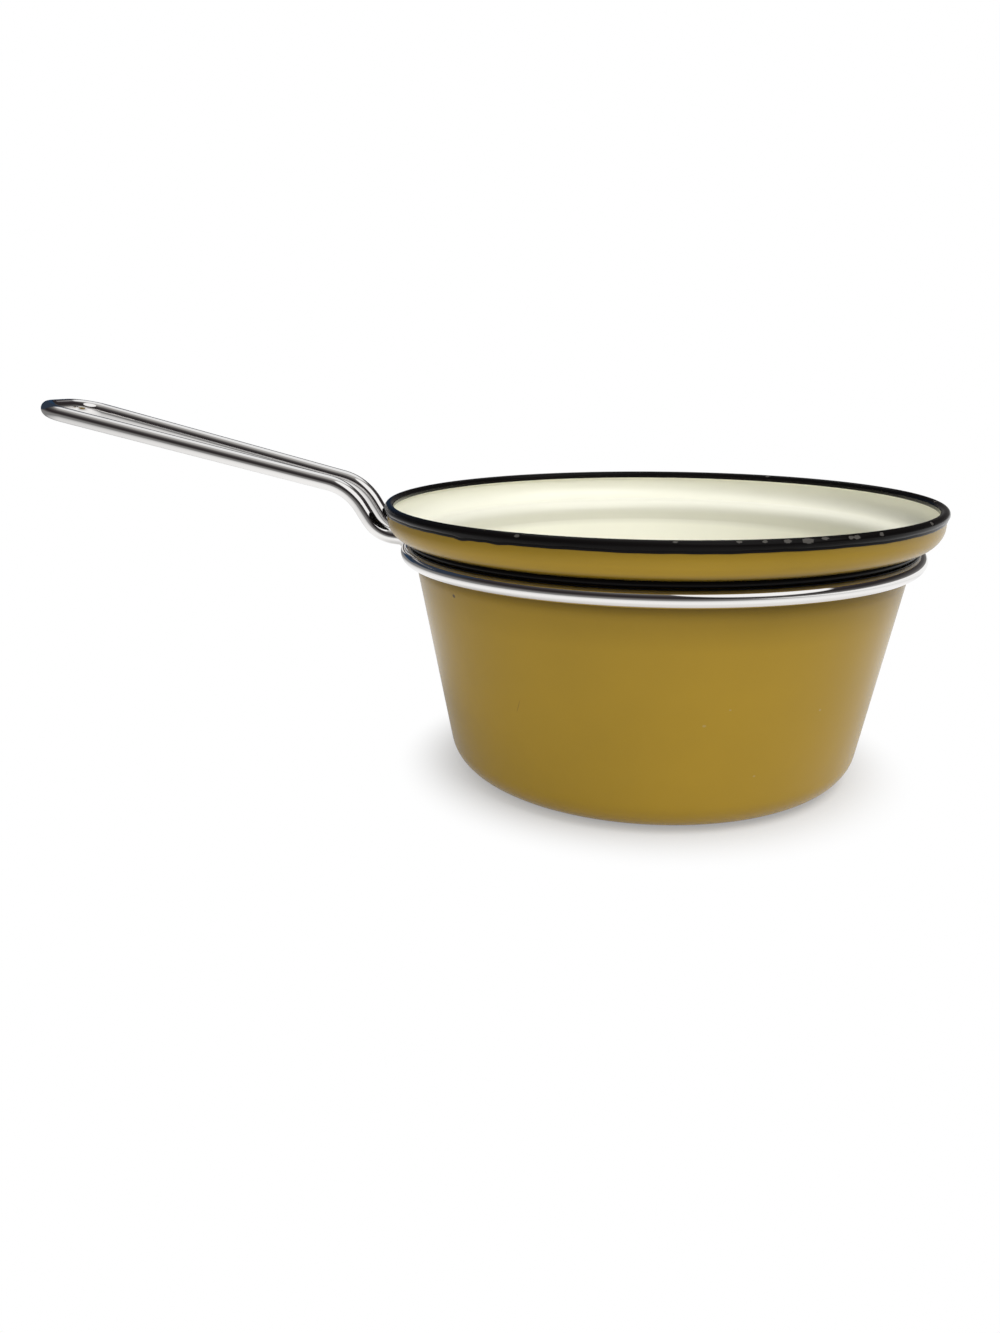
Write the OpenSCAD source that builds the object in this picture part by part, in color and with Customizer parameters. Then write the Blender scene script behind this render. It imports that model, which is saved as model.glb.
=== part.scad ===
// Double boiler: an enamelled water pan hung in a chromed wire hoop with a loop handle,
// and an enamelled insert pan that seats on the water pan's lip and lifts straight out.
// Millimetres. +Z is up, the handle runs along -X, and the origin is the middle of the
// water pan's flat base, on the surface that it stands on.

/* [Sheet and glaze] */
// Thickness of the pressed steel sheet with its outside glaze
sheet_t = 1.1; // [0.8:0.1:1.6]
// Thickness of a glaze coat: the linings and the black edges
glaze_t = 0.3; // [0.2:0.05:0.5]

/* [Water pan] */
// Height from the base to the top of the lip
pan_h = 94.8; // [75:0.1:130]
// Outside radius of the straight neck that the hoop holds
neck_r = 95.8; // [80:0.1:120]
// Height of the straight neck, from the top of the tapered wall to the top of the lip
neck_h = 12.8; // [11:0.1:18]
// Outside radius at which the tapered wall would meet the base
pan_base_r = 81.2; // [65:0.1:90]
// Outside radius of the bottom corner
pan_corner_r = 14; // [8:0.5:20]
// Thickness of the folded lip
lip_t = 2.4; // [2:0.1:3.5]
// How far the lip reaches out past the neck, over the hoop
lip_reach = 3.8; // [3.2:0.1:5]
// Radius of the bend from the inside of the neck into the top of the lip
lip_bend_r = 2.8; // [2:0.1:3.2]

/* [Cradle] */
// Diameter of the steel rod of the hoop and the handle
rod_d = 6.35; // [5:0.05:8]
// Clearance between the hoop and the pan that hangs in it
hoop_fit = 0.1; // [0.05:0.05:0.3]
// Width of the butt weld that closes the hoop
hoop_weld_w = 2.4; // [1.5:0.1:4]
// How far each weld stands proud of the rod
weld_proud = 0.5; // [0.3:0.1:1]

/* [Handle] */
// Distance from the middle of the hoop's rod out to the middle of the handle's outer end
handle_out = 160.9; // [120:0.1:200]
// Slope of the grip, in degrees above level
grip_slope = 13.4; // [5:0.1:25]
// Middle to middle of the two rods at the outer end
grip_end_w = 34; // [26:0.5:45]
// Middle to middle of the two rods where they meet the hoop
grip_root_w = 15.5; // [13:0.5:24]
// Distance from the middle of the hoop's rod out to the upper bend
upper_bend_out = 26.4; // [22:0.1:40]
// Height of the upper bend above the middle of the hoop's rod
upper_bend_up = 22.1; // [16:0.1:30]
// Distance from the middle of the hoop's rod out to the lower bend
lower_bend_out = 14.9; // [14:0.1:20]
// Height of the lower bend above the middle of the hoop's rod
lower_bend_up = 3.2; // [2:0.1:6]
// Height of each rod's root above the middle of the hoop's rod
root_up = 1.4; // [0.5:0.1:2]
// Radius of the upper bends, at the middle of the rod
upper_bend_r = 22; // [12:0.5:24]
// Radius of the lower bends, at the middle of the rod
lower_bend_r = 14; // [8:0.5:16]
// Radius of the two corners at the outer end, at the middle of the rod
end_corner_r = 11; // [8:0.5:12]

/* [Insert pan] */
// How far the rolled rim, over its black edge, stands out past the water pan's neck
rim_reach = 12.2; // [11:0.1:18]
// Height of the rim above the seat, over its black edge
rim_h = 13.9; // [12:0.1:24]
// Diameter of the rolled rim, over its black edge
rim_d = 3.6; // [3:0.1:5]
// How far the rolled rim stands out past the flange
rim_proud = 0.9; // [0.5:0.1:1.2]
// Length of the black edge below the middle of the rolled rim, on the outside
edge_drop = 2.2; // [2:0.1:3]
// Outside radius of the flange's rounded bottom corner
flange_corner_r = 8; // [5:0.5:9]
// Clearance between the insert's collar and the lined neck of the water pan
collar_fit = 1.6; // [0.8:0.1:3]
// Height of the straight collar below the seat
collar_h = 7.6; // [6.5:0.1:12]
// Space for water between the two bottoms
water_depth = 28.6; // [10:0.1:45]
// Space for water between the two walls, level with the insert's bottom
water_gap = 6.2; // [3:0.1:15]
// Outside radius of the insert's bottom corner
well_corner_r = 16; // [8:0.5:22]

/* [Hidden] */

// Facets for round shapes and for each quarter turn of a profile's corner
$fn = 144;
rod_fn = 48;
quarter_steps = 10;

// The mark at each end of a bend: how much wider it is than the rod, its length, and the
// gap that it covers on either side of its middle
bend_mark = 0.06;
mark_w = 1;
join_gap = 0.15;

mustard = [0.62, 0.50, 0.19];
cream = [0.96, 0.94, 0.86];
chrome = [0.82, 0.83, 0.85];
black_glaze = [0.06, 0.06, 0.07];

// Places that follow from the sizes above
wall_t = sheet_t + glaze_t;
hoop_r = neck_r + hoop_fit + rod_d / 2;
hoop_z = pan_h - lip_t - hoop_fit - rod_d / 2;
lip_r = neck_r + lip_reach;
lip_mid_r = lip_r - lip_t / 2;
lip_mid_z = pan_h - lip_t / 2;
neck_bend_r = 10;
seat_z = pan_h;
collar_r = neck_r - wall_t - collar_fit;
collar_bend_r = 2;
seat_bend_r = lip_bend_r + collar_fit;
rim_r = neck_r + rim_reach;
flange_r = rim_r - rim_proud;
rim_mid_r = rim_r - rim_d / 2;
rim_mid_z = seat_z + rim_h - rim_d / 2;
well_z = wall_t + water_depth;
pan_taper = (neck_r - pan_base_r) / (pan_h - neck_h);
well_base_r = pan_base_r + pan_taper * well_z - wall_t - water_gap;
root_trim_r = lip_r + 1;
weld_r = rod_d / 2 + weld_proud;
weld_in = root_trim_r - hoop_r;
weld_out = weld_in + rod_d / 2;
handle_reach = hoop_r + handle_out;

// Outline of the water pan's outside, from the middle of the base up into the lip
pan_path = [
    [0, 0], [pan_base_r, 0], [neck_r, pan_h - neck_h], [neck_r, pan_h - lip_t / 2]
];
pan_bends = [pan_corner_r, neck_bend_r];

// Outline of the folded lip's top and of its bend into the neck, and its underside
lip_top_path = [
    [lip_mid_r, pan_h], [neck_r - sheet_t, pan_h], [neck_r - sheet_t, pan_h - 2 * lip_t]
];
lip_underside = [[neck_r, pan_h - lip_t], [lip_mid_r, pan_h - lip_t]];

// Outline of the insert's outside, from the middle of its bottom up into the rolled rim
insert_path = [
    [0, well_z], [well_base_r, well_z], [collar_r, seat_z - collar_h], [collar_r, seat_z],
    [flange_r, seat_z], [flange_r, rim_mid_z]
];
insert_bends = [well_corner_r, collar_bend_r, seat_bend_r, flange_corner_r];

// One leg of the handle's middle line, from the hoop to the outer corner; side is 1 or -1
function grip_half_w(x) =
    (grip_root_w + (grip_end_w - grip_root_w) * (x - hoop_r) / (handle_reach - hoop_r)) / 2;
function handle_point(x, z, side) = [-x, side * grip_half_w(x), z];
upper_bend_x = hoop_r + upper_bend_out;
upper_bend_z = hoop_z + upper_bend_up;
grip_end_z = upper_bend_z + (handle_reach - upper_bend_x) * tan(grip_slope);
function handle_leg(side) = [
    handle_point(hoop_r, hoop_z + root_up, side),
    handle_point(hoop_r + lower_bend_out, hoop_z + lower_bend_up, side),
    handle_point(upper_bend_x, upper_bend_z, side),
    handle_point(handle_reach, grip_end_z, side)
];
leg_bends = [lower_bend_r, upper_bend_r, end_corner_r];

// Small helpers for directions and lists
function unit(v) = v / norm(v);
function left_of(v) = [-v[1], v[0]];
function turn_between(a, b) = acos(max(-1, min(1, a * b)));
function reversed(list) = [for (i = [len(list) - 1:-1:0]) list[i]];

// A flat outline moved t to its left, with every corner still sharp
function moved_corner(path, i, t) =
    let (
        before = i > 0 ? unit(path[i] - path[i - 1]) : unit(path[1] - path[0]),
        after = i < len(path) - 1 ? unit(path[i + 1] - path[i]) : before,
        n = left_of(before),
        m = left_of(after)
    )
    path[i] + (n + m) * t / (1 + n * m);
function moved(path, t) = [for (i = [0:len(path) - 1]) moved_corner(path, i, t)];

// The points of one rounded corner of a flat outline
function corner_points(a, corner, b, r) =
    let (
        d = unit(corner - a),
        e = unit(b - corner),
        turn = turn_between(d, e),
        side = d[0] * e[1] - d[1] * e[0] > 0 ? 1 : -1,
        start = corner - d * r * tan(turn / 2),
        centre = start + left_of(d) * side * r,
        steps = max(2, ceil(quarter_steps * turn / 90))
    )
    [for (k = [0:steps])
        let (s = turn * k / steps)
        centre + r * (d * sin(s) - left_of(d) * side * cos(s))];

// A flat outline moved t to its left, with its corners rounded: a corner that turns left
// loses t from its radius and one that turns right gains it, so a sheet stays even
function turns_left(path, i) =
    let (d = path[i] - path[i - 1], e = path[i + 1] - path[i])
    d[0] * e[1] - d[1] * e[0] > 0;
function rounded(path, bends, t) =
    let (p = moved(path, t), last = len(p) - 1)
    concat(
        [p[0]],
        [for (i = [1:last - 1])
            let (r = bends[i - 1] + (turns_left(path, i) ? -t : t))
            for (q = corner_points(p[i - 1], p[i], p[i + 1], r)) q],
        [p[last]]
    );

// Everything between two depths under an outline, turned about the pan's axis
module layer(path, bends, from_t, to_t) {
    rotate_extrude()
        polygon(concat(rounded(path, bends, from_t), reversed(rounded(path, bends, to_t))));
}

// A ring of round section
module round_ring(r, z, d) {
    translate([0, 0, z])
        rotate_extrude()
            translate([r, 0])
                circle(d = d, $fn = rod_fn);
}

// A ring of nearly round section, its flats fine enough to look round, for a bead of steel
// and the thin coat that follows it
module bead_ring(r, z, d) {
    rotate_extrude()
        polygon([for (k = [0:4 * quarter_steps - 1])
            let (a = 90 * k / quarter_steps)
            [r + cos(a) * d / 2, z + sin(a) * d / 2]]);
}

// A ring of square section
module square_ring(r_in, r_out, z_low, z_high) {
    rotate_extrude()
        translate([r_in, z_low])
            square([r_out - r_in, z_high - z_low]);
}

// A straight length of rod between two points, with a collar a hair wider over either end
// where it meets a bend, as the faint mark that a bending die leaves
module rod_straight(a, b, d, bend_before, bend_after) {
    v = b - a;
    length = norm(v);
    from_z = bend_before ? join_gap : 0;
    to_z = bend_after ? length - join_gap : length;
    translate(a)
        rotate([0, acos(v[2] / length), atan2(v[1], v[0])]) {
            translate([0, 0, from_z])
                cylinder(d = d, h = to_z - from_z, $fn = rod_fn);
            for (z = concat(bend_before ? [0] : [], bend_after ? [length] : []))
                translate([0, 0, z])
                    cylinder(d = d + bend_mark, h = mark_w, center = true, $fn = rod_fn);
        }
}

// A bend of rod about a centre: out points to its start and along is its direction there
module rod_bend(centre, out, along, r, from_angle, to_angle, d) {
    up = cross(out, along);
    multmatrix([
        [out[0], along[0], up[0], centre[0]],
        [out[1], along[1], up[1], centre[1]],
        [out[2], along[2], up[2], centre[2]],
        [0, 0, 0, 1]
    ])
        rotate_extrude(angle = to_angle - from_angle, start = from_angle)
            translate([r, 0])
                circle(d = d, $fn = rod_fn);
}

// A rod through a list of points, bent at each inner point to the radius given for it
module bent_rod(points, bends, d) {
    last = len(points) - 1;
    way = [for (i = [1:last]) unit(points[i] - points[i - 1])];
    turn = [for (i = [1:last - 1]) turn_between(way[i - 1], way[i])];
    cut = [for (i = [0:last - 2]) bends[i] * tan(turn[i] / 2)];
    for (i = [0:last - 1]) {
        a = i == 0 ? points[0] : points[i] + way[i] * cut[i - 1];
        b = i == last - 1 ? points[last] : points[i + 1] - way[i] * cut[i];
        rod_straight(a, b, d, i > 0, i < last - 1);
    }
    for (i = [0:last - 2]) {
        inward = unit(way[i + 1] - way[i] * (way[i] * way[i + 1]));
        start = points[i + 1] - way[i] * cut[i];
        gap_angle = join_gap / bends[i] * 180 / PI;
        rod_bend(
            start + inward * bends[i], -inward, way[i], bends[i],
            gap_angle, turn[i] - gap_angle, d
        );
    }
}

// The whole rod of the handle before its roots are cut to fit the hoop
module handle_rod() {
    bent_rod(
        concat(handle_leg(-1), reversed(handle_leg(1))),
        concat(leg_bends, reversed(leg_bends)),
        rod_d
    );
}

// Pressed steel pan, glazed mustard outside, with a folded lip that rests on the hoop
module water_pan() {
    color(mustard)
        union() {
            layer(pan_path, pan_bends, 0, sheet_t);
            rotate_extrude()
                polygon(concat(rounded(lip_top_path, [lip_bend_r], 0), lip_underside));
            bead_ring(lip_mid_r, lip_mid_z, lip_t - 2 * glaze_t);
        }
}

// Black glaze over the lip's round end, flush with the lip above and below
module water_pan_black_edge() {
    color(black_glaze)
        difference() {
            bead_ring(lip_mid_r, lip_mid_z, lip_t);
            bead_ring(lip_mid_r, lip_mid_z, lip_t - 2 * glaze_t);
            cylinder(r = lip_mid_r, h = 2 * pan_h);
        }
}

// Cream glaze over the inside of the water pan, up to the lip's bend
module water_pan_lining() {
    color(cream)
        difference() {
            layer(pan_path, pan_bends, sheet_t, wall_t);
            square_ring(neck_r - 2 * wall_t, neck_r, pan_h - lip_bend_r, pan_h);
        }
}

// Chromed rod rolled into a hoop under the lip, open where its weld closes it
module cradle_hoop() {
    color(chrome)
        difference() {
            round_ring(hoop_r, hoop_z, rod_d);
            hoop_weld_slot();
        }
}

// The gap between the two ends of the hoop's rod, behind the handle's two roots
module hoop_weld_slot() {
    translate([-hoop_r, 0, hoop_z])
        cube([2 * rod_d, hoop_weld_w, 2 * rod_d], center = true);
}

// Butt weld between the hoop's two ends, a little proud of the rod and dressed off
// flush on the side of the pan and the lip
module hoop_weld() {
    color(chrome)
        intersection() {
            union() {
                round_ring(hoop_r, hoop_z, rod_d);
                difference() {
                    round_ring(hoop_r, hoop_z, 2 * weld_r);
                    cylinder(r = hoop_r, h = pan_h);
                    square_ring(hoop_r - rod_d, hoop_r + rod_d, hoop_z, pan_h);
                }
            }
            hoop_weld_slot();
        }
}

// Chromed rod bent into the loop handle, its two roots cut to lie against the hoop
module handle_loop() {
    color(chrome)
        difference() {
            handle_rod();
            round_ring(hoop_r, hoop_z, rod_d);
            cylinder(r = root_trim_r, h = 2 * pan_h);
        }
}

// Weld metal round each root of the handle, against the hoop
module handle_welds() {
    color(chrome)
        difference() {
            for (side = [-1, 1])
                root_sleeve(side, weld_in, weld_out, 2 * weld_r);
            for (side = [-1, 1])
                root_sleeve(side, 0, 2 * weld_out, rod_d);
            round_ring(hoop_r, hoop_z, rod_d);
        }
}

// A round bar about one root of the handle, between two distances from the rod's start
module root_sleeve(side, from, to, d) {
    leg = handle_leg(side);
    way = unit(leg[1] - leg[0]);
    rod_straight(leg[0] + way * from, leg[0] + way * to, d, false, false);
}

// Pressed steel insert, glazed mustard outside, with a flange and a rolled rim
module insert_pan() {
    color(mustard)
        union() {
            layer(insert_path, insert_bends, 0, sheet_t);
            bead_ring(rim_mid_r, rim_mid_z, rim_d - 2 * glaze_t);
        }
}

// Cream glaze over the inside of the insert, up to the black edge
module insert_lining() {
    color(cream)
        difference() {
            layer(insert_path, insert_bends, sheet_t, wall_t);
            bead_ring(rim_mid_r, rim_mid_z, rim_d);
        }
}

// Black glaze over the rolled rim, with a short skirt down the outside of the flange
module insert_black_edge() {
    color(black_glaze)
        difference() {
            union() {
                bead_ring(rim_mid_r, rim_mid_z, rim_d);
                square_ring(flange_r, flange_r + glaze_t, rim_mid_z - edge_drop, rim_mid_z);
            }
            bead_ring(rim_mid_r, rim_mid_z, rim_d - 2 * glaze_t);
            square_ring(flange_r - sheet_t, flange_r, seat_z, rim_mid_z);
        }
}

water_pan();
water_pan_lining();
water_pan_black_edge();
cradle_hoop();
hoop_weld();
handle_loop();
handle_welds();
insert_pan();
insert_lining();
insert_black_edge();
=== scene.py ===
"""Looks of an enamelled double boiler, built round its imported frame. Metres, +Z up."""

import math

import bpy
from mathutils import Matrix, Vector


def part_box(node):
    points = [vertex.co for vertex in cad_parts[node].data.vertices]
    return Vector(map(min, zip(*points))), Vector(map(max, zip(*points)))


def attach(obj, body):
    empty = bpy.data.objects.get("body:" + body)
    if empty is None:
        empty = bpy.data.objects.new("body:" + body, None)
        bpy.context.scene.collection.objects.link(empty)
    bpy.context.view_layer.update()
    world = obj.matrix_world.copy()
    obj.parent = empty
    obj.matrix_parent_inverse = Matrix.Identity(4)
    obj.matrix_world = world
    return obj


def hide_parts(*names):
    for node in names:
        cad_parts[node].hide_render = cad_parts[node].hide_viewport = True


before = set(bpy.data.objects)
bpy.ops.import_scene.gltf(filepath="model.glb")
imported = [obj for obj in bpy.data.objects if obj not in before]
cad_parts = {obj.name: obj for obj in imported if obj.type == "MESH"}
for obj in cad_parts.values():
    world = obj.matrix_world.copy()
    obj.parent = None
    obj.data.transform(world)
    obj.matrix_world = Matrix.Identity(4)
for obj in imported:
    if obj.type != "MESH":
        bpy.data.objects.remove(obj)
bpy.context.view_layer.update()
scene = bpy.context.scene

# Camera
# It stands in front of the set, with the handle to the left: about 420 mm from the pans'
# axis, 50 mm above the rim, and leaning over by a third of a degree.
bpy.ops.object.select_all(action="DESELECT")
bpy.ops.object.camera_add(location=(0.02179, -0.41584, 0.15853))
camera = bpy.context.object
camera.name = "camera"
camera.data.sensor_width = 36.0
camera.data.lens = 27.74
camera_heading = Matrix.Rotation(math.radians(11.69), 4, "Z")
camera_tilt = Matrix.Rotation(math.radians(73.79), 4, "X")
camera_lean = Matrix.Rotation(math.radians(-0.32), 4, "Z")
camera_place = Matrix.Translation(camera.location)
camera.matrix_world = camera_place @ camera_heading @ camera_tilt @ camera_lean
scene.camera = camera
scene.view_settings.view_transform = "Standard"

# Water pan
# Steel sheet pressed into a tapered pan with a straight neck, its lip folded out flat to
# hang on the hoop. Mustard glass enamel is fused over the whole of the outside.
sheet = 0.0011
coat = 0.0003
pan_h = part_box("water_pan")[1].z
base_r = 0.0812
pan_corner_r = 0.014
lip_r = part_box("water_pan_black_edge")[1].x
lip_reach = 0.0038
lip_t = 0.0024
lip_end = Vector((lip_r - lip_t / 2, pan_h - lip_t / 2))
lip_bend_r = 0.0028
lip_root_r = 0.0008
lip_steps = 16
neck_r = lip_r - lip_reach
neck_h = 0.0128
neck_bend_r = 0.010
pan_taper = (neck_r - base_r) / (pan_h - neck_h)

# How finely the turned and bent pieces are cut, and how they are closed
turned_steps = 288
arc_step = math.radians(7.5)
same_place = 1e-6
smooth_angle = math.radians(40)


def left_of(way):
    """The direction a quarter turn to the left of another."""
    return Vector((-way.y, way.x))


def moved(corners, t):
    """An outline's corners moved t to its left, with every corner still sharp."""
    ways = [(b - a).normalized() for a, b in zip(corners, corners[1:])]
    ends = zip(corners, [ways[0], *ways], [*ways, ways[-1]])
    return [c + (left_of(a) + left_of(b)) * t / (1 + a.dot(b)) for c, a, b in ends]


def rounded(corners, radii):
    """An outline whose inner corners are arcs, each of its own radius."""
    points = [corners[0]]
    for before, corner, after, radius in zip(corners, corners[1:], corners[2:], radii):
        way = (corner - before).normalized()
        onward = (after - corner).normalized()
        turn = math.acos(max(-1.0, min(1.0, way.dot(onward))))
        side = math.copysign(1.0, way.x * onward.y - way.y * onward.x)
        start = corner - way * radius * math.tan(turn / 2)
        steps = max(2, math.ceil(turn / arc_step))
        for k in range(steps + 1):
            s = turn * k / steps
            across = left_of(way) * side * (1 - math.cos(s))
            points.append(start + radius * (way * math.sin(s) + across))
    points.append(corners[-1])
    return points


def bends_of(radii, turns_left, t):
    """The radii of an outline moved t to its left, where a left turn loses t."""
    return [r - t if left else r + t for r, left in zip(radii, turns_left)]


def arc(centre, radius, start, end, count):
    """Points of a cross-section round a centre, from one angle to another in degrees."""
    angles = [math.radians(start + (end - start) * k / count) for k in range(count + 1)]
    return [centre + radius * Vector((math.cos(a), math.sin(a))) for a in angles]


def close_mesh():
    """Merges what lies in one place, turns the faces outwards and smooths the round ones."""
    bpy.ops.mesh.select_all(action="SELECT")
    bpy.ops.mesh.remove_doubles(threshold=same_place)
    bpy.ops.mesh.normals_make_consistent(inside=False)
    bpy.ops.object.mode_set(mode="OBJECT")
    bpy.ops.object.shade_smooth_by_angle(angle=smooth_angle)


def turned(name, outline, closed=False, steps=turned_steps):
    """Traces half of a cross-section, point by point, and turns it about the Z axis."""
    bpy.ops.object.select_all(action="DESELECT")
    bpy.ops.mesh.primitive_plane_add(size=coat)
    piece = bpy.context.object
    piece.name = name
    bpy.ops.object.mode_set(mode="EDIT")
    bpy.ops.mesh.merge(type="CENTER")
    path = [*outline, outline[0]] if closed else outline
    bpy.ops.transform.translate(value=(path[0].x, 0, path[0].y))
    for a, b in zip(path, path[1:]):
        step = (b.x - a.x, 0, b.y - a.y)
        bpy.ops.mesh.extrude_vertices_move(TRANSFORM_OT_translate={"value": step})
    bpy.ops.object.mode_set(mode="OBJECT")
    bpy.ops.object.modifier_add(type="SCREW")
    lathe = piece.modifiers[-1]
    lathe.steps = steps
    lathe.render_steps = steps
    bpy.ops.object.modifier_apply(modifier=lathe.name)
    bpy.ops.object.mode_set(mode="EDIT")
    close_mesh()
    return piece


pan_corners = [
    Vector((0, 0)),
    Vector((base_r, 0)),
    Vector((neck_r, pan_h - neck_h)),
    Vector((neck_r, pan_h - lip_t)),
]
pan_radii = [pan_corner_r, neck_bend_r]
pan_lefts = [True, True]
pan_outside = rounded(
    [*pan_corners, Vector((lip_end.x, pan_h - lip_t))], [*pan_radii, lip_root_r]
)
steel_lip = arc(lip_end, lip_t / 2 - coat, -90, 90, lip_steps)
lip_top = Vector((lip_end.x, pan_h))
pan_inner_corners = moved(pan_corners, sheet)
pan_inner_corners[-1] = Vector((neck_r - sheet, pan_h))
pan_inside = rounded(
    [*pan_inner_corners, Vector((neck_r, pan_h))],
    [*bends_of(pan_radii, pan_lefts, sheet), lip_bend_r],
)
water_pan = turned(
    "water_pan_shell", [*pan_outside, *steel_lip, lip_top, *reversed(pan_inside[:-1])]
)


def put(tree, kind, settings=(), **inputs):
    """Adds a node. An input is a number, a colour or a socket; i0 is the node's first one."""
    made = tree.nodes.new(kind)
    for name, value in dict(settings).items():
        setattr(made, name, value)
    for name, value in inputs.items():
        by_number = name[0] == "i" and name[1:].isdigit()
        socket = made.inputs[int(name[1:])] if by_number else made.inputs[name]
        if isinstance(value, bpy.types.NodeSocket):
            tree.links.new(value, socket)
        else:
            socket.default_value = value
    return made


def maths(tree, operation, *terms):
    """What a Math node makes of numbers and sockets."""
    inputs = {f"i{k}": term for k, term in enumerate(terms)}
    return put(tree, "ShaderNodeMath", {"operation": operation}, **inputs).outputs["Value"]


def object_place(tree):
    """Where a point lies in its object's own frame, which is the model's."""
    return tree.nodes.new("ShaderNodeTexCoord").outputs["Object"]


def feed(tree, node, **sources):
    """Links sockets to a node's inputs; an underscore in a name stands for a space."""
    for name, source in sources.items():
        tree.links.new(source, node.inputs[name.replace("_", " ")])


def new_group(name, inputs, outputs):
    """An empty node group with named sockets, and its input and output nodes."""
    group = bpy.data.node_groups.new(name, "ShaderNodeTree")
    for title, kind in inputs:
        group.interface.new_socket(title, in_out="INPUT", socket_type=kind)
    for title, kind in outputs:
        group.interface.new_socket(title, in_out="OUTPUT", socket_type=kind)
    return group, group.nodes.new("NodeGroupInput"), group.nodes.new("NodeGroupOutput")


# Fused glass is never quite even: it lies in faint waves, its colour drifts with its
# thickness, and it carries a fine peel. Its specks fray the borders of chips.
glass, glass_in, glass_out = new_group(
    "fused_glass",
    [
        ("Peel Size", "NodeSocketFloat"),
        ("Peel Depth", "NodeSocketFloat"),
        ("Wave Depth", "NodeSocketFloat"),
    ],
    [("Drift", "NodeSocketFloat"), ("Specks", "NodeSocketFloat"), ("Normal", "NodeSocketVector")],
)
glass_place = object_place(glass)
peel_size = glass_in.outputs["Peel Size"]
drift = put(glass, "ShaderNodeTexNoise", Vector=glass_place, Scale=17.0, Detail=3.0)
specks = put(glass, "ShaderNodeTexNoise", Vector=glass_place, Scale=1900.0, Detail=2.0)
peel = put(glass, "ShaderNodeTexNoise", Vector=glass_place, Scale=peel_size, Detail=2.0)
waves = put(glass, "ShaderNodeTexNoise", Vector=glass_place, Scale=46.0, Detail=1.0)
wavy = put(
    glass, "ShaderNodeBump", Height=waves.outputs["Fac"], Distance=glass_in.outputs["Wave Depth"]
)
peeled = put(
    glass,
    "ShaderNodeBump",
    Height=peel.outputs["Fac"],
    Distance=glass_in.outputs["Peel Depth"],
    Normal=wavy.outputs["Normal"],
)
feed(
    glass,
    glass_out,
    Drift=drift.outputs["Fac"],
    Specks=specks.outputs["Fac"],
    Normal=peeled.outputs["Normal"],
)


def use_group(tree, group, **inputs):
    """Places a node group in a material; an underscore in a name stands for a space."""
    made = tree.nodes.new("ShaderNodeGroup")
    made.node_tree = group
    for name, value in inputs.items():
        made.inputs[name.replace("_", " ")].default_value = value
    return made


def new_material(name, **constants):
    """A Principled material, its constant values set on the shader's own sockets."""
    material = bpy.data.materials.new(name)
    material.use_nodes = True
    shader = material.node_tree.nodes["Principled BSDF"]
    for title, value in constants.items():
        shader.inputs[title.replace("_", " ")].default_value = value
    return material, material.node_tree, shader


def ramp(tree, factor, stops):
    """A colour ramp through the colours given at their places."""
    made = put(tree, "ShaderNodeValToRGB", Fac=factor)
    while len(made.color_ramp.elements) < len(stops):
        made.color_ramp.elements.new(0.5)
    for element, (position, colour) in zip(made.color_ramp.elements, stops):
        element.position = position
        element.color = (*colour, 1.0)
    return made.outputs["Color"]


def smooth_step(tree, value, low, high, at_low=0.0, at_high=1.0):
    """A value that goes smoothly from one level to another between two limits."""
    made = put(tree, "ShaderNodeMapRange", {"interpolation_type": "SMOOTHSTEP"}, Value=value)
    limits = {"From Min": low, "From Max": high, "To Min": at_low, "To Max": at_high}
    for title, limit in limits.items():
        made.inputs[title].default_value = limit
    return made.outputs["Result"]


def over(tree, below, mask, above):
    """A colour, or one that comes from a socket, laid over another where a mask is 1."""
    if not isinstance(above, bpy.types.NodeSocket):
        above = (*above, 1.0)
    made = put(tree, "ShaderNodeMix", {"data_type": "RGBA"}, i0=mask, i6=below, i7=above)
    return made.outputs[2]


# The height that counts as 1 on the ramps of painted shade by height, a little over the insert's
# rim
shade_top = pan_h + 0.015


def shaded_by_height(tree, colour, stops):
    """Painted shade by height: each stop is a height above the lip and the share of colour left.
    """
    z = put(tree, "ShaderNodeSeparateXYZ", Vector=object_place(tree)).outputs["Z"]
    share = maths(tree, "DIVIDE", z, shade_top)
    greys = [((pan_h + rise) / shade_top, (left, left, left)) for rise, left in stops]
    settings = {"data_type": "RGBA", "blend_type": "MULTIPLY"}
    left_over = ramp(tree, share, greys)
    return put(tree, "ShaderNodeMix", settings, i0=1.0, i6=colour, i7=left_over).outputs[2]


# The share of a mark that is solid, before it fades, and how far its mask goes into the wall
mark_core = 0.35
mark_depth = 0.0044


def mark(tree, azimuth, radius, z, half_w, half_h, tilt):
    """A mask of a small place on a wall, that wide and high, turned by a tilt in degrees."""
    turn = math.radians(azimuth)
    near = put(tree, "ShaderNodeMapping", {"vector_type": "TEXTURE"}, Vector=object_place(tree))
    near.inputs["Location"].default_value = (radius * math.sin(turn), -radius * math.cos(turn), z)
    near.inputs["Rotation"].default_value = (0, math.radians(tilt), turn)
    near.inputs["Scale"].default_value = (half_w, mark_depth, half_h)
    away = put(tree, "ShaderNodeVectorMath", {"operation": "LENGTH"}, i0=near.outputs["Vector"])
    return smooth_step(tree, away.outputs["Value"], mark_core, 1.0, at_low=1.0, at_high=0.0)


mustard, mustard_tree, mustard_shader = new_material(
    "mustard_enamel", Roughness=0.22, IOR=1.5, Specular_IOR_Level=0.22
)
mustard_glass = use_group(
    mustard_tree, glass, Peel_Size=420.0, Peel_Depth=0.000012, Wave_Depth=0.00013
)
mustard_tones = [(0.25, (0.43, 0.27, 0.023)), (0.75, (0.49, 0.305, 0.025))]
mustard_colour = ramp(mustard_tree, mustard_glass.outputs["Drift"], mustard_tones)
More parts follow.
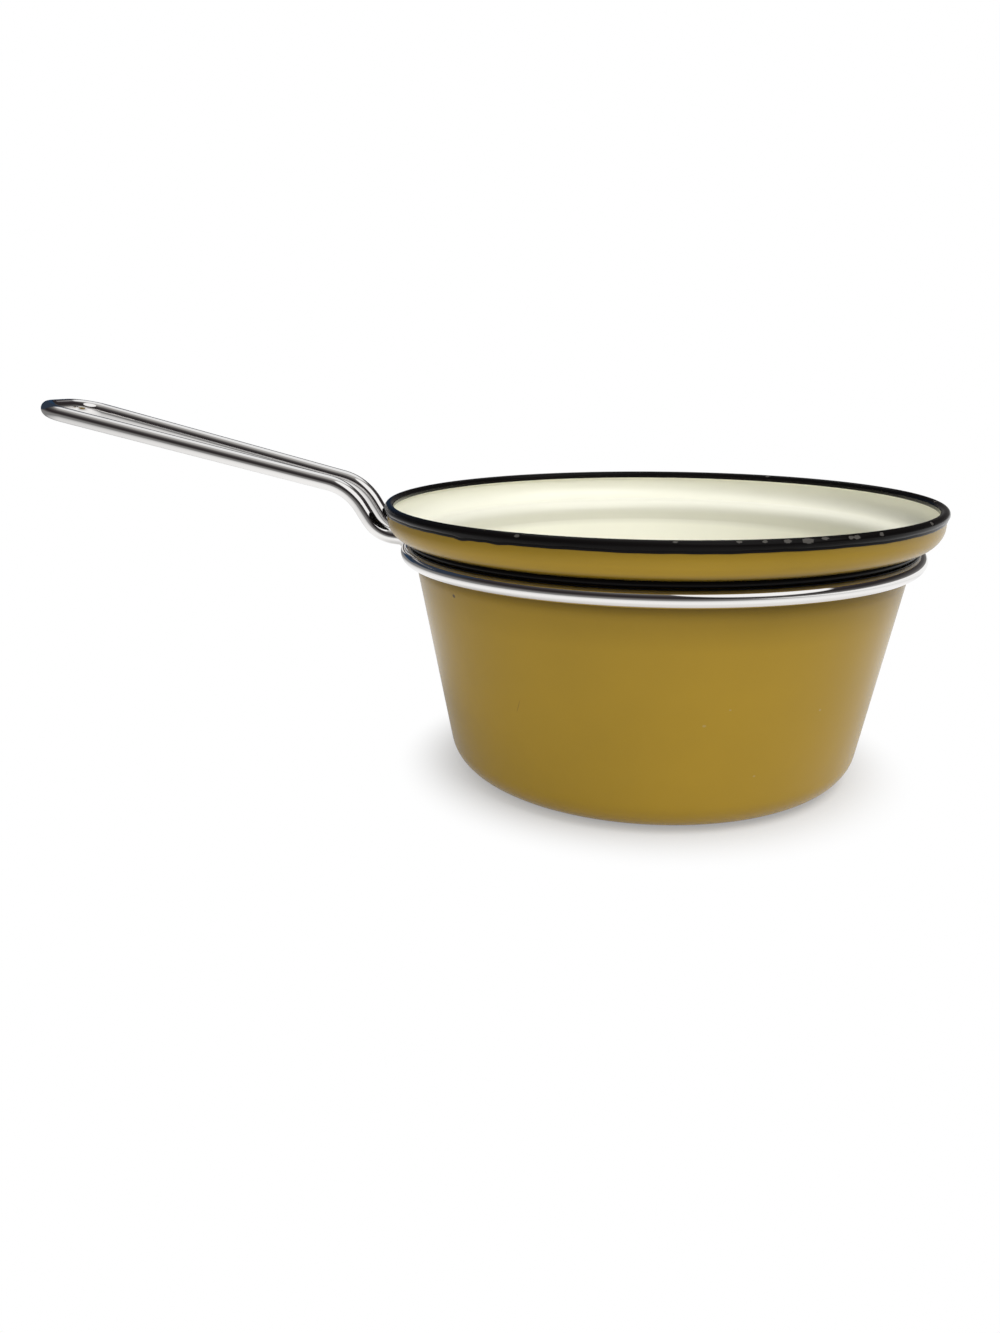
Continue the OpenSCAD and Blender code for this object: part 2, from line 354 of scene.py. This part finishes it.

# Painted shade: darker under the hoop and round the insert's seat; also darker at the top of its
# flange
mustard_painted_shade = [
    (-0.0248, 1.0),
    (-0.0148, 0.88),
    (-0.0123, 0.76),
    (-0.0098, 0.45),
    (-0.0013, 0.40),
    (0.0002, 0.22),
    (0.0009, 0.30),
    (0.0020, 0.75),
    (0.0030, 1.0),
    (0.0052, 1.0),
    (0.0087, 0.74),
]
mustard_colour = shaded_by_height(mustard_tree, mustard_colour, mustard_painted_shade)

# The marks of use on the body: four pale rubs, a fine scratch and a burnt spot, each with its
# azimuth, its height on the wall, half its width, half its height, its tilt and its colour
rubbed = (0.50, 0.36, 0.10)
scratched = (0.30, 0.18, 0.02)
burnt = (0.08, 0.05, 0.01)
body_marks = [
    (14.9, 0.0436, 0.0009, 0.00063, 0, rubbed),
    (20.2, 0.0492, 0.0006, 0.00042, 0, rubbed),
    (43.9, 0.0445, 0.0008, 0.00056, 0, rubbed),
    (28.5, 0.0226, 0.0007, 0.00049, 0, rubbed),
    (-27.7, 0.0443, 0.0002, 0.0036, 22, scratched),
    (-44.3, 0.0806, 0.0012, 0.0009, 0, burnt),
]
for azimuth, z, half_w, half_h, tilt, colour in body_marks:
    marked = mark(mustard_tree, azimuth, base_r + pan_taper * z, z, half_w, half_h, tilt)
    mustard_colour = over(mustard_tree, mustard_colour, marked, colour)
feed(
    mustard_tree,
    mustard_shader,
    Base_Color=mustard_colour,
    Normal=mustard_glass.outputs["Normal"],
)
water_pan.data.materials.append(mustard)
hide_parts("water_pan")
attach(water_pan, "cradle")

# Black edge of the lip
# A coat of black glass over the lip's round end, put there as painted shade for the dark gap
# under the insert's flange. It lies flush with the mustard above and below.
lip_face_steps = 20
lip_face = arc(lip_end, lip_t / 2, -90, 90, lip_face_steps)
lip_back = arc(lip_end, lip_t / 2 - coat, 90, -90, lip_steps)
lip_shade_edge = turned("lip_black_shade_edge", [*lip_face, *lip_back], closed=True)

black_gloss = 0.16
steel_rough = 0.55
bare_steel = (0.075, 0.070, 0.064)
black, black_tree, black_shader = new_material(
    "black_enamel", Roughness=black_gloss, IOR=1.5, Specular_IOR_Level=0.08
)
black_glass = use_group(
    black_tree, glass, Peel_Size=600.0, Peel_Depth=0.00001, Wave_Depth=0.00005
)
black_tones = [(0.3, (0.004, 0.0035, 0.0035)), (0.7, (0.007, 0.006, 0.006))]
black_colour = ramp(black_tree, black_glass.outputs["Drift"], black_tones)

# Chips show bare steel with a ragged border; where they lie is an attribute of the insert's
# edge, and the lip's edge has none
chip_starts = 0.68
chip_bare = 0.78
raggedness = 0.5
chips = put(black_tree, "ShaderNodeAttribute", {"attribute_name": "chipped"}).outputs["Fac"]
ragged = maths(black_tree, "MULTIPLY_ADD", black_glass.outputs["Specks"], raggedness, chips)
bare = smooth_step(black_tree, ragged, chip_starts, chip_bare)
feed(
    black_tree,
    black_shader,
    Base_Color=over(black_tree, black_colour, bare, bare_steel),
    Roughness=smooth_step(
        black_tree, ragged, chip_starts, chip_bare, at_low=black_gloss, at_high=steel_rough
    ),
    Normal=black_glass.outputs["Normal"],
)
# Its black is painted shade for the gap under the insert's flange
lip_shade_edge.data.materials.append(black)
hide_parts("water_pan_black_edge")
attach(lip_shade_edge, "cradle")

# Lining of the water pan
# A cream coat of the same glass, fused over the steel inside. It ends where the wall bends
# out into the lip.
lining_top = pan_h - lip_bend_r
lining_corners = moved(pan_corners, sheet)
lining_corners[-1] = Vector((neck_r - sheet, lining_top))
lining_face_corners = moved(pan_corners, sheet + coat)
lining_face_corners[-1] = Vector((neck_r - sheet - coat, lining_top))
lining_back = rounded(lining_corners, bends_of(pan_radii, pan_lefts, sheet))
lining_face = rounded(lining_face_corners, bends_of(pan_radii, pan_lefts, sheet + coat))
pan_lining = turned("water_pan_cream", [*lining_back, *reversed(lining_face)])

cream, cream_tree, cream_shader = new_material(
    "cream_enamel", Roughness=0.30, IOR=1.5, Specular_IOR_Level=0.5
)
cream_glass = use_group(
    cream_tree, glass, Peel_Size=420.0, Peel_Depth=0.000012, Wave_Depth=0.00018
)
cream_tones = [(0.25, (0.87, 0.86, 0.735)), (0.75, (0.91, 0.90, 0.775))]
cream_colour = ramp(cream_tree, cream_glass.outputs["Drift"], cream_tones)
# Painted shade: the cream is darker at the height of the insert's collar, where the well shades
# it
cream_painted_shade = [(-0.0098, 1.0), (-0.0068, 0.80), (-0.0028, 0.80), (0.0004, 0.97), (0.0032, 1.0)]
feed(
    cream_tree,
    cream_shader,
    Base_Color=shaded_by_height(cream_tree, cream_colour, cream_painted_shade),
    Normal=cream_glass.outputs["Normal"],
)
pan_lining.data.materials.append(cream)
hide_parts("water_pan_lining")
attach(pan_lining, "cradle")

# Hoop of the cradle
# Quarter-inch steel rod rolled into a ring under the lip, butt welded behind the handle,
# then polished and chromed together with the handle.
hoop_low, hoop_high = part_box("cradle_hoop")
rod_r = (hoop_high.z - hoop_low.z) / 2
hoop_r = hoop_high.x - rod_r
hoop_z = hoop_low.z + rod_r
rod_sides = 40
rod_section = arc(Vector((hoop_r, hoop_z)), rod_r, 0, 360, rod_sides)
hoop = turned("hoop", rod_section[:-1], closed=True)

chrome, _, _ = new_material(
    "chromed_rod", Base_Color=(0.88, 0.865, 0.85, 1.0), Metallic=1.0, Roughness=0.05
)
hoop.data.materials.append(chrome)
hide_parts("cradle_hoop")
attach(hoop, "cradle")

# Weld of the hoop
# The butt weld between the two ends of the rod. Its metal stands a little proud of the rod,
# is dressed flush on the pan's side, and is plated over with the rest.
hoop_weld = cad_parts["hoop_weld"]
hoop_weld.data.materials.clear()
hoop_weld.data.materials.append(chrome)

# Handle
# One length of the same rod, bent into a long loop: each leg leaves the hoop, turns up,
# turns out again over the lip and runs to a corner at the outer end.
reach = -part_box("handle_loop")[0].x - rod_r
grip_slope = math.radians(13.4)
grip_end_w = 0.034
grip_root_w = 0.0155
upper_bend_out = 0.0264
upper_bend_up = 0.0221
upper_bend_r = 0.022
lower_bend_out = 0.0149
lower_bend_up = 0.0032
lower_bend_r = 0.014
end_corner_r = 0.011
root_up = 0.0014
root_gap = 0.001
bend_step = math.radians(5)


def on_leg(out, up):
    """A point of the near leg, from its distance out and its height; the legs spread."""
    share = (out - hoop_r) / (reach - hoop_r)
    half = (grip_root_w + (grip_end_w - grip_root_w) * share) / 2
    return Vector((-out, -half, up))


def bent_rod(name, points, bends, radius, sides):
    """A rod fed out straight and bent about each inner point, as a bending machine does."""
    ways = [(b - a).normalized() for a, b in zip(points, points[1:])]
    turns = [a.angle(b) for a, b in zip(ways, ways[1:])]
    cuts = [r * math.tan(t / 2) for r, t in zip(bends, turns)]
    lengths = [(b - a).length for a, b in zip(points, points[1:])]
    bpy.ops.object.select_all(action="DESELECT")
    facing = ways[0].to_track_quat("Z", "Y").to_euler()
    bpy.ops.mesh.primitive_circle_add(
        vertices=sides, radius=radius, fill_type="NGON", location=points[0], rotation=facing
    )
    bpy.ops.object.transform_apply(location=True, rotation=True, scale=True)
    rod = bpy.context.object
    rod.name = name
    bpy.ops.object.mode_set(mode="EDIT")
    for i, way in enumerate(ways):
        feed_out = lengths[i] - (cuts[i - 1] if i > 0 else 0) - (cuts[i] if i < len(cuts) else 0)
        bpy.ops.mesh.extrude_region_move(TRANSFORM_OT_translate={"value": way * feed_out})
        if i < len(turns):
            inward = (ways[i + 1] - way * way.dot(ways[i + 1])).normalized()
            centre = points[i + 1] - way * cuts[i] + inward * bends[i]
            steps = math.ceil(turns[i] / bend_step)
            bpy.ops.mesh.spin(
                steps=steps, angle=turns[i], center=centre, axis=inward.cross(way)
            )
    close_mesh()
    return rod


upper_bend_z = hoop_z + upper_bend_up
grip_end_z = upper_bend_z + (reach - hoop_r - upper_bend_out) * math.tan(grip_slope)
leg = [
    on_leg(hoop_r, hoop_z + root_up),
    on_leg(hoop_r + lower_bend_out, hoop_z + lower_bend_up),
    on_leg(hoop_r + upper_bend_out, upper_bend_z),
    on_leg(reach, grip_end_z),
]

# The rod starts from the hoop's middle, and is cut off just outside the pan's lip
leg[0] = leg[0] + (leg[1] - leg[0]).normalized() * (lip_r + root_gap - hoop_r)
leg_bends = [lower_bend_r, upper_bend_r, end_corner_r]
handle_points = [*leg, *(Vector((p.x, -p.y, p.z)) for p in reversed(leg))]
handle_bends = [*leg_bends, *reversed(leg_bends)]
handle = bent_rod("handle", handle_points, handle_bends, rod_r, rod_sides)
handle.data.materials.append(chrome)
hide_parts("handle_loop")
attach(handle, "cradle")

# Welds of the handle
# Two beads of weld metal, one round each root, that fix the handle's cut ends against the
# hoop. They are plated over with the rod.
handle_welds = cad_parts["handle_welds"]
handle_welds.data.materials.clear()
handle_welds.data.materials.append(chrome)

# Insert pan
# Steel sheet pressed into a well with a collar, a seat and a flange, and rolled over at
# the top. It carries the same mustard enamel outside.
well_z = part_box("insert_pan")[0].z
well_corner_r = 0.016
water_gap = 0.0062
well_r = base_r + pan_taper * well_z - sheet - coat - water_gap
collar_fit = 0.0016
collar_r = neck_r - sheet - coat - collar_fit
collar_h = 0.0076
collar_bend_r = 0.002
seat_bend_r = lip_bend_r + collar_fit
rim_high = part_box("insert_black_edge")[1]
rim_r = rim_high.x
rim_d = 0.0036
rim_proud = 0.0009
bead = Vector((rim_r - rim_d / 2, rim_high.z - rim_d / 2))
steel_bead_r = rim_d / 2 - coat
bead_steps = 30
flange_r = rim_r - rim_proud
flange_corner_r = 0.008


def bead_angle(distance, radius):
    """The angle below the bead's middle at which it meets an upright line, in degrees."""
    return math.degrees(math.asin(math.sqrt(radius**2 - distance**2) / radius))


insert_corners = [
    Vector((0, well_z)),
    Vector((well_r, well_z)),
    Vector((collar_r, pan_h - collar_h)),
    Vector((collar_r, pan_h)),
    Vector((flange_r, pan_h)),
    Vector((flange_r, bead.y)),
]
insert_radii = [well_corner_r, collar_bend_r, seat_bend_r, flange_corner_r]
insert_lefts = [True, True, False, True]
outer_meet = bead_angle(flange_r - bead.x, steel_bead_r)
inner_meet = bead_angle(bead.x - (flange_r - sheet), steel_bead_r)
insert_outside = rounded(insert_corners, insert_radii)[:-1]
insert_inside = rounded(
    moved(insert_corners, sheet), bends_of(insert_radii, insert_lefts, sheet)
)[:-1]
insert_bead = arc(bead, steel_bead_r, -outer_meet, 180 + inner_meet, bead_steps)
insert = turned("insert_shell", [*insert_outside, *insert_bead, *reversed(insert_inside)])
insert.data.materials.append(mustard)
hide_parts("insert_pan")
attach(insert, "insert")

# Lining of the insert
# Cream enamel fused over the inside. It runs up round the lower half of the rolled rim, and
# the black edge laps over its end.
cream_end = 200
cream_steps = 8
lap = coat / 4
cream_bead_r = rim_d / 2 - lap
face_meet = bead_angle(bead.x - (flange_r - sheet - coat), cream_bead_r)
insert_face = rounded(
    moved(insert_corners, sheet + coat), bends_of(insert_radii, insert_lefts, sheet + coat)
)[:-1]
insert_cream_top = arc(bead, cream_bead_r, 180 + face_meet, cream_end, cream_steps)
insert_cream_back = arc(bead, steel_bead_r, cream_end, 180 + inner_meet, cream_steps)
insert_lining = turned(
    "insert_cream",
    [*insert_face, *insert_cream_top, *insert_cream_back, *reversed(insert_inside)],
)
insert_lining.data.materials.append(cream)
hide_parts("insert_lining")
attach(insert_lining, "insert")

# Black edge of the insert
# A last coat of black glass, brushed over the rolled rim by hand, so that its lower edge
# wanders. Knocks have chipped it along the top and the outside.
edge_end = 216
edge_arc_steps = 34
edge_steps = 1080
edge_drop = 0.0022
skirt_z = bead.y - edge_drop
skirt_meet = bead_angle(flange_r + coat - bead.x, rim_d / 2)
edge_outer = arc(bead, rim_d / 2, -skirt_meet, edge_end, edge_arc_steps)
edge_inner = arc(bead, steel_bead_r - lap, edge_end, -outer_meet, edge_arc_steps)
edge_skirt = [
    Vector((flange_r - coat / 2, skirt_z)),
    Vector((flange_r + coat * 0.6, skirt_z)),
    Vector((flange_r + coat, skirt_z + coat)),
]
black_edge = turned(
    "black_edge", [*edge_skirt, *edge_outer, *edge_inner], closed=True, steps=edge_steps
)

# Waves that the brush left along the skirt: how many go round the rim, how deep they are and
# where they start. Three runs of glass hang lower: their azimuth and width in degrees, and depth
brush_waves = [(9, 0.00006, 0.5), (23, 0.00005, 2.1), (61, 0.00003, 4.0)]
runs = [(-33.0, 1.6, 0.0005), (-24.5, 1.8, 0.0004), (-29.0, 1.2, 0.0002)]

# Each chip: its azimuth and how far up the bead's section it lies, in degrees, then half its
# length and half its width. It sinks into the glass from its border towards its middle
chip_list = [
    (-20.6, 38, 0.0009, 0.0006),
    (6.2, 56, 0.0008, 0.0005),
    (16.4, 56, 0.0009, 0.0006),
    (20.6, 50, 0.0008, 0.0006),
    (24.5, 44, 0.0012, 0.0007),
    (28.1, 36, 0.0019, 0.0009),
    (31.4, 52, 0.0013, 0.0006),
    (36.5, 36, 0.0009, 0.0006),
    (37.8, 34, 0.0012, 0.0007),
    (43.6, 36, 0.0009, 0.0007),
    (60.6, 44, 0.0010, 0.0007),
    (92.9, 110, 0.0011, 0.0007),
    (153.6, 120, 0.0010, 0.0007),
    (-98.0, 60, 0.0009, 0.0006),
    (-121.0, 48, 0.0012, 0.0007),
    (-164.0, 45, 0.0010, 0.0006),
    (171.0, 52, 0.0008, 0.0006),
    (121.0, 50, 0.0009, 0.0006),
]
chip_depth = 0.00018
sinks_from = 0.45
sunk_from = 0.65


def hang_at(azimuth):
    """How far the skirt hangs below its even edge at an azimuth in radians."""
    hang = sum(depth * math.sin(n * azimuth + start) for n, depth, start in brush_waves)
    for middle, width, depth in runs:
        hang += depth * math.exp(-(((math.degrees(azimuth) - middle) / width) ** 2))
    return hang


def wear_at(azimuth, section):
    """How near a point of the bead lies to a chip: 1 at its middle, a half at its border."""
    wear = 0.0
    for middle, up, half_length, half_width in chip_list:
        along = math.remainder(azimuth - math.radians(middle), math.tau) * rim_r
        across = (math.atan2(section.y, section.x) - math.radians(up)) * rim_d / 2
        wear = max(wear, 1 - math.hypot(along / half_length, across / half_width) / 2)
    return wear


chipped = black_edge.data.attributes.new("chipped", "FLOAT", "POINT")
for i, vertex in enumerate(black_edge.data.vertices):
    azimuth = math.atan2(vertex.co.x, -vertex.co.y)
    section = Vector((vertex.co.xy.length, vertex.co.z)) - bead
    if section.y < -edge_drop / 2:
        vertex.co.z -= hang_at(azimuth)
    if section.length >= rim_d / 2 - coat / 2:
        wear = wear_at(azimuth, section)
        chipped.data[i].value = wear
        outward = Vector((*vertex.co.xy.normalized() * section.x, section.y)).normalized()
        sunk = min(1.0, max(0.0, (wear - sinks_from) / (sunk_from - sinks_from)))
        vertex.co -= outward * chip_depth * sunk
black_edge.data.materials.append(black)
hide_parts("insert_black_edge")
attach(black_edge, "insert")

# Floor
# A plain pale table. The eye sees it as white from a little way off the pan. The metal
# mirrors it as bright close by and dim further off, but for its back right, which stays bright.
table_w = 8.0

# To the eye, the lit table with the pan's shadow turns to white between these distances
shadow_r = 0.068
white_r = 0.108
shadow_white = 0.3

# To the metal, the lit table turns to an even shine, which then dims with the distance
foot_r = 0.11
off_foot_r = 0.22
foot_shine = 0.35
bright_r = 0.16
dim_r = 0.75
dim_level = 0.22

# The shine comes back along this direction, between these distances
back_right = (0.8, 0.6, 0)
back_starts = 0.1
back_full = 0.4
back_level = 0.95


def mixed(tree, share, first, second):
    """Two shaders, the first where a share is 0 and the second where it is 1."""
    return put(tree, "ShaderNodeMixShader", Fac=share, i1=first, i2=second).outputs["Shader"]


def far_along(tree, place, way):
    """How far a place lies along a direction."""
    made = put(tree, "ShaderNodeVectorMath", {"operation": "DOT_PRODUCT"}, i0=place, i1=way)
    return made.outputs["Value"]


bpy.ops.object.select_all(action="DESELECT")
bpy.ops.mesh.primitive_plane_add(size=table_w)
floor = bpy.context.object
floor.name = "floor"
pale_table, floor_tree, floor_shader = new_material(
    "pale_table", Base_Color=(0.66, 0.66, 0.66, 1.0), Roughness=0.9, Specular_IOR_Level=0.0
)
floor_lit = floor_shader.outputs["BSDF"]
floor_place = object_place(floor_tree)
floor_off = put(floor_tree, "ShaderNodeVectorMath", {"operation": "LENGTH"}, i0=floor_place)
floor_off = floor_off.outputs["Value"]
floor_path = floor_tree.nodes.new("ShaderNodeLightPath")

floor_white = put(floor_tree, "ShaderNodeEmission", Strength=1.0)
whiteness = smooth_step(floor_tree, floor_off, shadow_r, white_r, at_low=shadow_white)
floor_seen = mixed(floor_tree, whiteness, floor_lit, floor_white.outputs["Emission"])

dimming = smooth_step(floor_tree, floor_off, bright_r, dim_r, at_low=1.0, at_high=dim_level)
floor_back = far_along(floor_tree, floor_place, back_right)
back_shine = smooth_step(floor_tree, floor_back, back_starts, back_full, at_high=back_level)
floor_shine = put(
    floor_tree, "ShaderNodeEmission", Strength=maths(floor_tree, "MAXIMUM", dimming, back_shine)
)
shine_share = smooth_step(floor_tree, floor_off, foot_r, off_foot_r, at_low=foot_shine)
floor_mirrored = mixed(floor_tree, shine_share, floor_lit, floor_shine.outputs["Emission"])

floor_by_gloss = mixed(
    floor_tree, floor_path.outputs["Is Glossy Ray"], floor_lit, floor_mirrored
)
floor_by_eye = mixed(floor_tree, floor_path.outputs["Is Camera Ray"], floor_by_gloss, floor_seen)
feed(floor_tree, floor_tree.nodes["Material Output"], Surface=floor_by_eye)
floor.data.materials.append(pale_table)

# Room
# Even light from all round, weaker from the left. What the metal and the glass mirror is a
# made-up dim room that grows brighter towards its ceiling.
world = bpy.data.worlds.new("room")
scene.world = world
world.use_nodes = True
room = world.node_tree
towards = room.nodes.new("ShaderNodeTexCoord").outputs["Generated"]
height = put(room, "ShaderNodeSeparateXYZ", Vector=towards).outputs["Z"]
streaks = put(room, "ShaderNodeTexNoise", Vector=towards, Scale=2.2, Detail=2.0)
streak_depth = 0.06
streaked_height = maths(room, "MULTIPLY_ADD", streaks.outputs["Fac"], streak_depth, height)
wall_tones = [
    (0.03, (0.22, 0.215, 0.21)),
    (0.16, (0.09, 0.085, 0.085)),
    (0.36, (0.022, 0.019, 0.020)),
    (0.58, (0.038, 0.031, 0.034)),
    (0.74, (0.070, 0.067, 0.067)),
    (0.86, (0.16, 0.155, 0.15)),
    (0.93, (0.30, 0.29, 0.285)),
    (0.99, (0.45, 0.44, 0.43)),
]


def patch(way, narrow, wide):
    """How near a direction lies to another: 1 within a narrow cone, 0 outside a wide one."""
    inner = math.cos(math.radians(narrow))
    outer = math.cos(math.radians(wide))
    nearness = far_along(room, towards, Vector(way).normalized())
    return smooth_step(room, nearness, outer, inner)


# What stands in the room: a bright ceiling high at the back, a dark cloth low at the back
# left, a dark curtain at the left and a window at the front right. Each has its direction,
# the angles from it at which its soft border starts and ends, and its colour
furnishings = [
    ((-0.10, 0.46, 0.88), 20, 32, (0.88, 0.89, 0.90)),
    ((-0.559, 0.828, 0.035), 18, 24, (0.020, 0.045, 0.090)),
    ((-0.765, 0.407, 0.50), 24, 32, (0.030, 0.042, 0.065)),
    ((0.567, -0.355, 0.743), 26, 29, (1.0, 1.0, 1.0)),
]
mirrored = ramp(room, streaked_height, wall_tones)
for way, narrow, wide, colour in furnishings:
    mirrored = over(room, mirrored, patch(way, narrow, wide), colour)

light_tones = [(0.0, (0.24, 0.24, 0.24)), (0.9, (0.46, 0.46, 0.46))]
weak_left = patch((-0.9, -0.4, 0.0), 10, 70)
light = over(room, ramp(room, height, light_tones), weak_left, (0.15, 0.15, 0.15))
room_path = room.nodes.new("ShaderNodeLightPath")
lit = over(room, light, room_path.outputs["Is Glossy Ray"], mirrored)
seen = over(room, lit, room_path.outputs["Is Camera Ray"], (1.0, 1.0, 1.0))
feed(room, room.nodes["Background"], Color=seen)


def softbox(name, place, size, power):
    """A large soft lamp that faces the pans and isn't mirrored in them."""
    bpy.ops.object.light_add(type="AREA", location=place)
    lamp = bpy.context.object
    lamp.name = name
    lamp.data.size = size
    lamp.data.energy = power
    aim = Vector((0, 0, pan_h / 2)) - lamp.location
    lamp.rotation_euler = aim.to_track_quat("-Z", "Y").to_euler()
    lamp.visible_glossy = False


softbox("key_light", place=(0.50, -0.36, 1.2), size=0.9, power=13.6)
softbox("fill_light", place=(-0.5, -1.1, 0.6), size=1.0, power=3.0)
